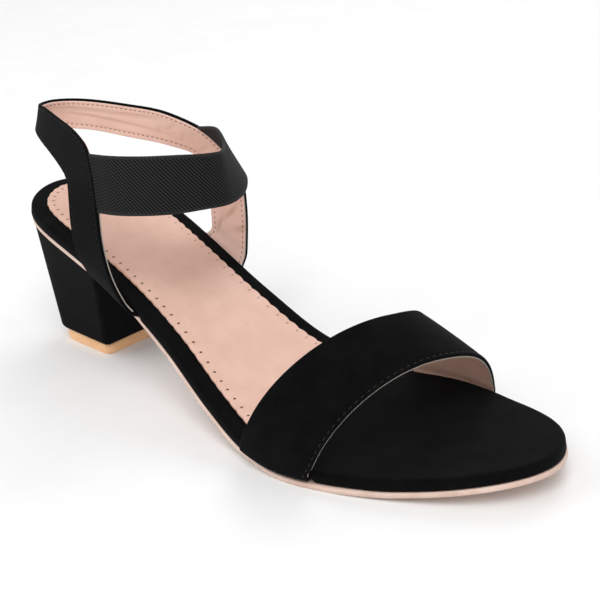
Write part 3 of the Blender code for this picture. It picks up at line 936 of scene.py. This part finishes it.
def along_rows(rows, places):
    """Rows of numbers run smoothly through the given rows, at places counted in rows."""
    rows = np.array(rows, float)
    spans = np.linalg.norm(np.diff(rows, axis=0).reshape(len(rows) - 1, -1), axis=1)
    slopes = np.gradient(rows, np.concatenate([[0], np.cumsum(spans)]), axis=0)
    out = []
    for place in places:
        i = min(int(place), len(rows) - 2)
        t = place - i
        out.append(
            rows[i] * (1 + 2 * t) * (1 - t) ** 2
            + spans[i] * slopes[i] * t * (1 - t) ** 2
            + rows[i + 1] * t**2 * (3 - 2 * t)
            + spans[i] * slopes[i + 1] * t**2 * (t - 1)
        )
    return np.array(out)


def open_spline(rows, steps):
    """The rows with `steps` smooth spans between two of them."""
    last = len(rows) - 1
    return along_rows(rows, np.linspace(0, last, last * steps + 1))


def across_rows(edges, columns):
    """Points across a strap between its two edges, for each row of edge points."""
    edges = np.array(edges, float)
    shares = np.linspace(0, 1, columns + 1)[None, :, None]
    return edges[:, None, :3] + (edges[:, None, 3:] - edges[:, None, :3]) * shares


def crease_depths(grid):
    """How deep the creases lie in the lining at each point of its surface."""
    lengths = np.linalg.norm(np.diff(grid, axis=0), axis=2).mean(axis=1)
    along = np.concatenate([[0], np.cumsum(lengths)])[:, None]
    across = row_lengths(grid)
    depth = np.zeros(grid.shape[:2])
    for x, y, z, run, breadth, turn, sink in CREASES:
        away = np.linalg.norm(grid - np.array([x, y, z]), axis=2)
        row, column = np.unravel_index(away.argmin(), away.shape)
        ahead = along - along[row]
        aside = across - across[row, column]
        way = math.radians(turn)
        lengthwise = ahead * math.cos(way) + aside * math.sin(way)
        sideways = aside * math.cos(way) - ahead * math.sin(way)
        depth += sink * np.exp(-((lengthwise / run) ** 2) - (sideways / breadth) ** 2)
    return depth


outer_foot = tucked_rows(*BACK_STRAP_OUTER_FOOT, -1, BACK_STRAP_EASE, BACK_STRAP_LEAN)
inner_foot = tucked_rows(*BACK_STRAP_INNER_FOOT, 1, BACK_STRAP_EASE, BACK_STRAP_LEAN)[::-1]
back_free = np.array([outer_foot[-1], *across_rows(BACK_STRAP_ROWS, FINE_COLUMNS), inner_foot[0]])
back_rows = even_rows(
    [*outer_foot[:-1], *open_spline(back_free, BACK_STRAP_STEPS), *inner_foot[1:]], ROW_PITCH, ROW_SOFTNESS
)
back_places = strap_places(back_rows, suede_rim, suede_rim)
back_sink = seam_sink(back_places, back_rows, (SEAM_INSET, -SEAM_INSET))
new_piece(
    "heel_loop",
    *band_shell(at_distances(back_rows, back_places), SUEDE_TOP - back_sink, SUEDE_BASE),
    suede_finish("loop_suede"),
    "suede_black",
    "back_strap",
)

back_inside = back_rows[tucked:-tucked]
on_leg = np.clip(np.interp(back_inside[:, -1:, 0], LEG_FRONT_X, (0.0, 1.0)), 0.0, 1.0)
lining_front = lining_rim + LINING_SETBACK * (1 - on_leg) + RAW_LEG_SETBACK * on_leg
lining_places = strap_places(back_inside, lining_rim, lining_front)
lining_grid = at_distances(back_inside, lining_places)
lining_sink = seam_sink(lining_places, back_inside, (SEAM_INSET, -SEAM_INSET))
crease_sink = crease_depths(lining_grid)
loop_lining = new_piece(
    "loop_lining",
    *band_shell(lining_grid, LINING_TOP, LINING_BASE + lining_sink + crease_sink),
    lining_finish("loop_lining_leather", (0.35, 0.6, 1), LOOP_ROSE, LOOP_ROSE_LIGHT),
    "lining_rose",
)
mark_shell(loop_lining, "raw", lining_places.shape, front=on_leg, rear=RAW_REAR_SHARE)
# Painted shade in the creases of the loop lining, at its full strength from CREASE_FULL deep.
mark_shell(loop_lining, "crease_shade", lining_places.shape, inner=np.clip(crease_sink / CREASE_FULL, 0.0, 1.0))

black_thread = thread_finish("loop_thread", THREAD_BLACK)
brown_thread = thread_finish("brown_thread", THREAD_BROWN)
for edge_name, seam in (("low", SEAM_INSET), ("high", -SEAM_INSET)):
    seam_points, seam_normals = seam_line(back_inside, seam)
    new_piece(
        f"loop_stitches_{edge_name}",
        *stitch_row(seam_points, seam_normals, thread_height, STITCH_PITCH, STITCH_LENGTH, STITCH_RADIUS),
        black_thread,
        "suede_black",
    )
    new_piece(
        f"lining_stitches_{edge_name}",
        *stitch_row(
            seam_points,
            -seam_normals,
            -LINING_BASE - SEAM_SINK,
            LINING_PITCH,
            LINING_STITCH,
            LINING_THREAD_RADIUS,
        ),
        brown_thread,
        "lining_rose",
    )


# Elastic
# A charcoal stretch webbing woven in a steep twill, with plain selvedges.
# Its ends are sewn into the edge of the heel strap between suede and lining.

ELASTIC_THICK = 1.3
JOINT_OVERLAP = 0.5
OUTER_JOINT = (2.98, 4.75)  # lower edge, upper edge, counted in rows of the heel strap
INNER_JOINT = (16.75, 15.6)
ELASTIC_ROWS = (  # lower edge x, y, z, upper edge x, y, z
    (83.5, -35.5, 76, 79, -32, 97),
    (92, -29.5, 76, 90, -26, 97.5),
    (100, -20.5, 76, 99.5, -18.5, 98),
    (106, -11, 76.5, 105, -10.5, 97.5),
    (108, -3, 76, 105.5, -3, 96.5),
    (106, 5, 75.5, 100.5, 3.5, 95.5),
    (92.5, 23, 75.5, 82.5, 17.5, 95.5),
)
ELASTIC_STEPS = 20
ELASTIC_PITCH = 0.24
ELASTIC_SOFTNESS = 1.5
ELASTIC_COLUMNS = 72
TWILL_PITCH = 1.4
TWILL_SLANT = -0.95
TWILL_DEPTH = 0.26
RIB_SHARPNESS = 1.3
YARN_PITCH = 1.1
YARN_SLANT = 0.35
YARN_DEPTH = 0.32
SELVEDGE = 1.4
SELVEDGE_PLAIN = 0.3
SELVEDGE_HEIGHT = 0.55
RIM_HEIGHT = 0.5
# painted shade in the twill's grooves and painted highlight on its ribs
CHARCOAL_GROOVE_SHADE = (0.002, 0.002, 0.002)
CHARCOAL_RIB_HIGHLIGHT = (0.042, 0.042, 0.042)


def joint_row(joint):
    """The elastic's end, run a little into the strap's front edge."""
    rows = along_rows(back_free, np.linspace(*joint, FINE_COLUMNS + 1))
    ahead = rows[:, -1] - rows[:, -2]
    ahead /= np.linalg.norm(ahead, axis=1)[:, None]
    return rows[:, -1] - ahead * JOINT_OVERLAP


def twill(along, across, width):
    """Height of the weave from 0 to 1: slanted ribs of short floats that fade out at the selvedges."""
    rib = (1 + np.cos(2 * np.pi * (along + TWILL_SLANT * across) / TWILL_PITCH)) / 2
    yarn = np.cos(2 * np.pi * (across + YARN_SLANT * along) / YARN_PITCH)
    float_end = 1 - YARN_DEPTH * (1 - yarn)
    fade = np.clip(np.minimum(across, width - across) / SELVEDGE - SELVEDGE_PLAIN, 0, 1)
    return rib**RIB_SHARPNESS * float_end * fade + SELVEDGE_HEIGHT * (1 - fade)


def elastic_finish():
    material = new_finish("charcoal_elastic", roughness=0.75, Specular_IOR_Level=0.12, Sheen_Weight=0.03)
    # Painted highlight and shade: the rib tops are painted lighter and the grooves darker, following the
    # weave's height.
    rib = mesh_mark(material, "rib")
    paint(material, tint(material, rib, CHARCOAL_GROOVE_SHADE, CHARCOAL_RIB_HIGHLIGHT, start=0.1, end=0.9))
    raise_bump(material, grain(material, scale=5200, detail=2), strength=0.4, distance=0.08)
    return material


elastic_free = across_rows(ELASTIC_ROWS, FINE_COLUMNS)
elastic_guides = [joint_row(OUTER_JOINT), *elastic_free, joint_row(INNER_JOINT)]
elastic_spline = open_spline(elastic_guides, ELASTIC_STEPS)
elastic_rows = even_rows(elastic_spline[:, ::-1], ELASTIC_PITCH, ELASTIC_SOFTNESS)
elastic_widths = row_lengths(elastic_rows)[:, -1:]
elastic_rim = ELASTIC_THICK / 2
elastic_span = elastic_widths - 2 * elastic_rim
elastic_places = elastic_rim + elastic_span * np.linspace(0, 1, ELASTIC_COLUMNS + 1)
elastic_along = np.arange(len(elastic_rows))[:, None] * ELASTIC_PITCH
rib_height = twill(elastic_along, elastic_places, elastic_widths)
elastic_top = ELASTIC_THICK / 2 - TWILL_DEPTH * (1 - rib_height)
elastic_grid = at_distances(elastic_rows, elastic_places)
elastic = new_piece(
    "instep_elastic",
    *band_shell(elastic_grid, elastic_top, -elastic_top),
    elastic_finish(),
    "elastic_charcoal",
    "elastic_band",
)
# The weave's height, carried to the finish for its painted highlight and shade; the rims take a middle
# tone.
rim_rib = np.full((len(elastic_rows), RIM_STEPS - 1), RIM_HEIGHT)
rib_shading_values = np.hstack([rib_height, rim_rib, rib_height[:, ::-1], rim_rib])
rib_shading_layer = elastic.data.attributes.new("rib", "FLOAT", "POINT")
rib_shading_layer.data.foreach_set("value", rib_shading_values.ravel().astype(np.float32))


# Insole sock
# A rose leather sock with a pinked edge, glued on the footbed last of all.
# A pin hole is punched inside each notch, and its front is cut straight across near the toe strap's rear.

INSOLE_OUTER_INSET = 6.4
INSOLE_INNER_INSET = 7.0
INSOLE_THICK = 0.9
INSOLE_FRONT = 149.0
SOCK_STATIONS = 460
PINK_PITCH = 4.2
PINK_OUTER_DEPTH = 0.25
PINK_INNER_DEPTH = 0.6
PIN_INSET = 2.5
PIN_HALF_WIDTH = 0.38
PIN_HALF_LENGTH = 0.62
SOCK_LEVELS = (  # further inset, height above the footbed, share of the pinking
    (0.0, GAP, 1.0),
    (0.0, GAP + 0.65, 1.0),
    (0.12, GAP + 0.84, 1.0),
    (0.4, GAP + INSOLE_THICK, 1.0),
    (1.6, GAP + INSOLE_THICK, 0.4),
    (3.2, GAP + INSOLE_THICK, 0.0),
    (5.2, GAP + INSOLE_THICK, 0.0),
)
PIN_DARK = (0.11, 0.045, 0.035)
PIN_SLIT = 0.09
PIN_SLIT_SHARE = 0.2
PIN_INNER_SHARE = 0.45


def sock_rim():
    """Plan points from the sock's outer front round the heel to its inner front, with inward ways."""
    turn = np.arange(1, SOCK_STATIONS + 1) / SOCK_STATIONS * np.pi / 2
    x = INSOLE_FRONT * (1 - np.cos(turn))
    rim = np.vstack([np.column_stack([x, edge_y(x, -1)])[::-1], np.column_stack([x, edge_y(x, 1)])])
    ahead = np.gradient(rim, axis=0)
    ahead /= np.linalg.norm(ahead, axis=1)[:, None]
    return even_points(np.hstack([rim, np.column_stack([ahead[:, 1], -ahead[:, 0]])]), 2 * SOCK_STATIONS)


def sock_mesh():
    """Points, faces and edge coordinates (notches along, inset) of the pinked sock."""
    rim = sock_rim()
    plan, inward = rim[:, :2], rim[:, 2:]
    inward = inward / np.linalg.norm(inward, axis=1)[:, None]
    inner_share = np.clip((1 - inward[:, 1]) / 2, 0.0, 1.0)
    margin = INSOLE_OUTER_INSET + (INSOLE_INNER_INSET - INSOLE_OUTER_INSET) * inner_share
    edge = plan + inward * margin[:, None]
    along = np.concatenate([[0], np.cumsum(np.linalg.norm(np.diff(edge, axis=0), axis=1))])
    notches = (along - along[-1] / 2) / PINK_PITCH
    depth = PINK_OUTER_DEPTH + (PINK_INNER_DEPTH - PINK_OUTER_DEPTH) * inner_share
    notch = depth * (1 - np.abs(np.cos(np.pi * notches)))
    points = []
    coordinates = []
    for further, height, share in SOCK_LEVELS:
        inset = further + notch * share
        level = plan + inward * (margin + inset)[:, None]
        points.append(on_sole(level[:, 0], level[:, 1], FOOTBED_TOP + height))
        coordinates.append(np.column_stack([notches, inset]))
    return np.vstack(points), ring_faces(len(plan), len(SOCK_LEVELS)), np.vstack(coordinates)


def sock_finish():
    """Rose leather with a dark pin hole inside each notch and a fine slit from the hole to the notch."""
    material = lining_finish("sock_leather", (1, 1, 1), ROSE, ROSE_LIGHT)
    coordinates = add_node(material, "ShaderNodeUVMap")
    coordinates.uv_map = "edge"
    split = add_node(material, "ShaderNodeSeparateXYZ")
    wire(material, coordinates.outputs["UV"], split.inputs["Vector"])

    def maths(operation, first, second):
        made = add_node(material, "ShaderNodeMath")
        made.operation = operation
        for socket, value in zip(made.inputs, (first, second)):
            if isinstance(value, (int, float)):
                socket.default_value = value
            else:
                wire(material, value, socket)
        return made.outputs["Value"]

    place = maths("FRACT", split.outputs["X"], 0.0)
    sideways = maths("MULTIPLY", maths("SUBTRACT", place, 0.5), PINK_PITCH)
    inwards = maths("SUBTRACT", split.outputs["Y"], PIN_INSET)
    squares = maths(
        "ADD",
        maths("POWER", maths("DIVIDE", sideways, PIN_HALF_WIDTH), 2.0),
        maths("POWER", maths("DIVIDE", inwards, PIN_HALF_LENGTH), 2.0),
    )
    hole = maths("LESS_THAN", squares, 1.0)
    slit = maths("LESS_THAN", maths("ABSOLUTE", sideways, 0.0), PIN_SLIT)
    slit = maths("MULTIPLY", slit, maths("LESS_THAN", inwards, 0.0))
    outer_side = maths("LESS_THAN", split.outputs["X"], 0.0)
    share = maths("MAXIMUM", outer_side, PIN_INNER_SHARE)
    hole = maths("MULTIPLY", maths("MAXIMUM", hole, maths("MULTIPLY", slit, PIN_SLIT_SHARE)), share)
    shader = material.node_tree.nodes["Principled BSDF"]
    leather = shader.inputs["Base Color"].links[0].from_socket
    paint(material, blend(material, hole, leather, PIN_DARK))
    return material


sock_points, sock_faces, sock_coordinates = sock_mesh()
sock = new_piece("sock", sock_points, sock_faces, sock_finish(), "lining_rose", "insole")
edge_layer = sock.data.uv_layers.new(name="edge")
corners = np.zeros(len(sock.data.loops), int)
sock.data.loops.foreach_get("vertex_index", corners)
edge_layer.data.foreach_set("uv", sock_coordinates[corners].ravel().astype(np.float32))


# Floor, light and camera
# A plain pale floor under soft studio light: a broad lamp over the toe, a fill, a rim lamp and a white sky.
# The camera stands where the photograph was taken and turns to the shoe.

FLOOR_HALF = 3.0
FLOOR_PALE = (0.86, 0.86, 0.86)
FLOOR_LIGHT = (0.8772, 0.8772, 0.8772)
SKY_STRENGTH = 0.6
LAMPS = (  # name, place in metres, size in metres, power in watts
    ("key", (0.5, -0.7, 1.3), 1.1, 12.0),
    ("fill", (-0.9, -0.9, 0.9), 1.2, 5.0),
    ("rim", (-0.4, 1.0, 1.0), 0.9, 5.0),
)
CAMERA_PLACE = Vector((327.5, -333.3, 254.7)) * MM
CAMERA_AIM = Vector((6.65, 9.05, 38.1)) * MM
CAMERA_ROLL = math.radians(-1.73)
CAMERA_LENS = 82.8
SENSOR_WIDTH = 36.0

floor_mesh = bpy.data.meshes.new("floor")
floor_corners = [(x * FLOOR_HALF, y * FLOOR_HALF, 0.0) for x, y in ((-1, -1), (1, -1), (1, 1), (-1, 1))]
floor_mesh.from_pydata(floor_corners, [], [(0, 1, 2, 3)])
floor_finish = new_finish("pale_floor", roughness=0.8, Specular_IOR_Level=0.2)
floor_clouds = grain(floor_finish, scale=30, detail=2)
paint(floor_finish, tint(floor_finish, floor_clouds, FLOOR_PALE, FLOOR_LIGHT))
floor_mesh.materials.append(floor_finish)
floor = bpy.data.objects.new("floor", floor_mesh)
bpy.context.scene.collection.objects.link(floor)

world = bpy.data.worlds.new("studio")
world.use_nodes = True
world.node_tree.nodes["Background"].inputs["Color"].default_value = (1.0, 1.0, 1.0, 1.0)
world.node_tree.nodes["Background"].inputs["Strength"].default_value = SKY_STRENGTH
bpy.context.scene.world = world

for lamp_name, lamp_place, lamp_size, lamp_power in LAMPS:
    lamp_data = bpy.data.lights.new(lamp_name, "AREA")
    lamp_data.shape = "DISK"
    lamp_data.size = lamp_size
    lamp_data.energy = lamp_power
    lamp = bpy.data.objects.new(lamp_name, lamp_data)
    lamp.location = lamp_place
    lamp.rotation_mode = "QUATERNION"
    lamp.rotation_quaternion = (CAMERA_AIM - Vector(lamp_place)).to_track_quat("-Z", "Y")
    bpy.context.scene.collection.objects.link(lamp)

camera_data = bpy.data.cameras.new("camera")
camera_data.lens = CAMERA_LENS
camera_data.sensor_width = SENSOR_WIDTH
camera = bpy.data.objects.new("camera", camera_data)
camera.location = CAMERA_PLACE
camera.rotation_mode = "QUATERNION"
level_view = (CAMERA_AIM - CAMERA_PLACE).to_track_quat("-Z", "Y")
camera.rotation_quaternion = level_view @ Quaternion((0, 0, 1), CAMERA_ROLL)
bpy.context.scene.collection.objects.link(camera)
bpy.context.scene.camera = camera
bpy.context.scene.view_settings.view_transform = "Standard"
